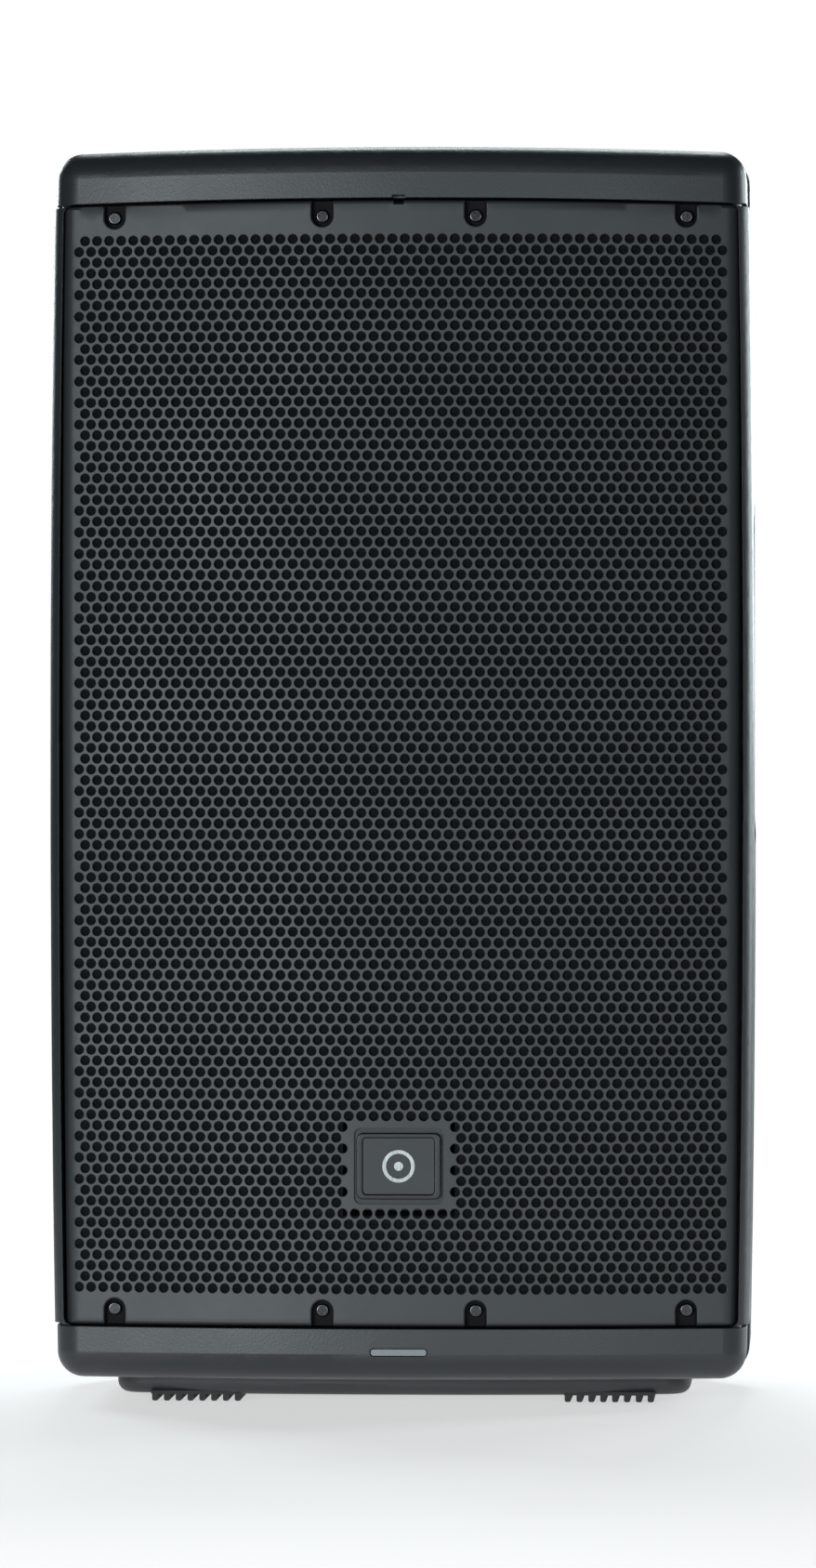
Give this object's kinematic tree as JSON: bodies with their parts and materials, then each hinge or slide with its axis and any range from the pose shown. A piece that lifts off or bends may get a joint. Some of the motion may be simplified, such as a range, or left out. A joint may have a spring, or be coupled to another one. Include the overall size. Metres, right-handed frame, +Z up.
{
  "type": "pa speaker",
  "caption": "Powered two-way loudspeaker in a moulded cabinet with a perforated grille, horn driver, rear amplifier panel, handles and a dual-angle pole socket.",
  "frame": {"origin": "centre of the footprint on the floor, under the ribbed feet", "axes": "+Z up, front grille faces -Y, +X to the right seen from the front"},
  "size_m": [0.332, 0.305, 0.591],
  "materials": {
    "cabinet_plastic": "fine leather-like moulded texture, satin black",
    "handle_plastic": "moulded black, slightly smoother grip faces",
    "gasket_rubber": "soft black seal",
    "foot_rubber": "ribbed matt rubber",
    "grille_steel": "semi-matt powder coat on perforated steel",
    "foam": "open-cell acoustic foam",
    "screw_steel": "black oxide",
    "badge_metal": "satin",
    "badge_body": "satin charcoal",
    "badge_face": "gloss black",
    "light_lens": "frosted light guide",
    "cast_frame": "painted pressed frame",
    "plated_steel": "zinc plated",
    "ferrite": "sintered ferrite",
    "cone_paper": "pressed paper pulp",
    "coil_former": "wound copper on former",
    "spider_cloth": "impregnated cloth",
    "horn_plastic": "smooth moulded black",
    "diaphragm_foil": "thin dome",
    "panel_paint": "fine powder coat",
    "heatsink_black": "black anodised",
    "socket_plastic": "moulded black nylon",
    "latch_metal": "plated tab",
    "knob_plastic": "satin black",
    "circuit_board": "solder mask",
    "transformer_tape": "wound tape",
    "capacitor_sleeve": "heat-shrink sleeve"
  },
  "bodies": {
    "cabinet": {"amp_board": "circuit_board", "amp_heatsink": "heatsink_black", "amp_panel": "panel_paint", "amp_panel_screws": "screw_steel", "badge_emblem": "badge_metal", "badge_frame": "badge_body", "badge_plate": "badge_face", "base_screws": "screw_steel", "base_skid": "handle_plastic", "combo_jack_1": "socket_plastic", "combo_jack_2": "socket_plastic", "control_bodies": "socket_plastic", "driver_cap": "horn_plastic", "driver_magnet": "ferrite", "driver_plate": "plated_steel", "driver_screws": "screw_steel", "driver_yoke": "plated_steel", "foot_pads": "foot_rubber", "front_baffle": "cabinet_plastic", "grille": "grille_steel", "grille_foam": "foam", "grille_screws": "screw_steel", "horn_waveguide": "horn_plastic", "led_lens": "light_lens", "link_output": "socket_plastic", "mains_inlet": "socket_plastic", "mains_transformer": "transformer_tape", "panel_lights": "light_lens", "pole_socket": "handle_plastic", "port_tubes": "horn_plastic", "power_switch_body": "socket_plastic", "rear_shell": "cabinet_plastic", "seam_gasket": "gasket_rubber", "shell_screws": "screw_steel", "side_handle_left": "handle_plastic", "side_handle_right": "handle_plastic", "supply_capacitors": "capacitor_sleeve", "suspension_inserts": "plated_steel", "top_handle": "handle_plastic", "woofer_basket": "cast_frame", "woofer_magnet": "ferrite", "woofer_spider": "spider_cloth", "woofer_surround": "gasket_rubber", "woofer_top_plate": "plated_steel", "woofer_yoke": "plated_steel"},
    "woofer_moving": {"woofer_cone": "cone_paper", "woofer_dust_cap": "cone_paper", "woofer_voice_coil": "coil_former"},
    "driver_moving": {"driver_diaphragm": "diaphragm_foil"},
    "gain_control_1": {"gain_knob_1": "knob_plastic"},
    "gain_control_2": {"gain_knob_2": "knob_plastic"},
    "master_control": {"master_knob": "knob_plastic"},
    "input_switch_1": {"input_button_1": "knob_plastic"},
    "input_switch_2": {"input_button_2": "knob_plastic"},
    "eq_switch": {"eq_button": "knob_plastic"},
    "power_switch": {"power_rocker": "knob_plastic"},
    "latch_1": {"jack_latch_1": "latch_metal"},
    "latch_2": {"jack_latch_2": "latch_metal"}
  },
  "joints": [
    {"name": "woofer_excursion", "type": "slide", "parent": "cabinet", "child": "woofer_moving", "axis": [0, -1, 0], "range_m": [-0.006, 0.006], "stiffness_N_per_m": 3000, "deforming": ["woofer_surround", "woofer_spider"]},
    {"name": "diaphragm_excursion", "type": "slide", "parent": "cabinet", "child": "driver_moving", "axis": [0, -1, 0], "range_m": [-0.0003, 0.0003], "stiffness_N_per_m": 6000},
    {"name": "gain_1_turn", "type": "hinge", "parent": "cabinet", "child": "gain_control_1", "pos_m": [-0.044, 0.14, 0.412], "axis": [0, 1, 0], "range_deg": [-150, 150]},
    {"name": "gain_2_turn", "type": "hinge", "parent": "cabinet", "child": "gain_control_2", "pos_m": [0, 0.14, 0.412], "axis": [0, 1, 0], "range_deg": [-150, 150]},
    {"name": "master_turn", "type": "hinge", "parent": "cabinet", "child": "master_control", "pos_m": [0.044, 0.14, 0.412], "axis": [0, 1, 0], "range_deg": [-150, 150]},
    {"name": "input_1_press", "type": "slide", "parent": "cabinet", "child": "input_switch_1", "axis": [0, 1, 0], "range_m": [-0.002, 0], "stiffness_N_per_m": 300},
    {"name": "input_2_press", "type": "slide", "parent": "cabinet", "child": "input_switch_2", "axis": [0, 1, 0], "range_m": [-0.002, 0], "stiffness_N_per_m": 300},
    {"name": "eq_press", "type": "slide", "parent": "cabinet", "child": "eq_switch", "axis": [0, 1, 0], "range_m": [-0.002, 0], "stiffness_N_per_m": 300},
    {"name": "power_rock", "type": "hinge", "parent": "cabinet", "child": "power_switch", "pos_m": [0.038, 0.1305, 0.16], "axis": [1, 0, 0], "range_deg": [-16, 0]},
    {"name": "latch_1_press", "type": "slide", "parent": "cabinet", "child": "latch_1", "axis": [0, 1, 0], "range_m": [-0.002, 0], "stiffness_N_per_m": 300},
    {"name": "latch_2_press", "type": "slide", "parent": "cabinet", "child": "latch_2", "axis": [0, 1, 0], "range_m": [-0.002, 0], "stiffness_N_per_m": 300}
  ]
}
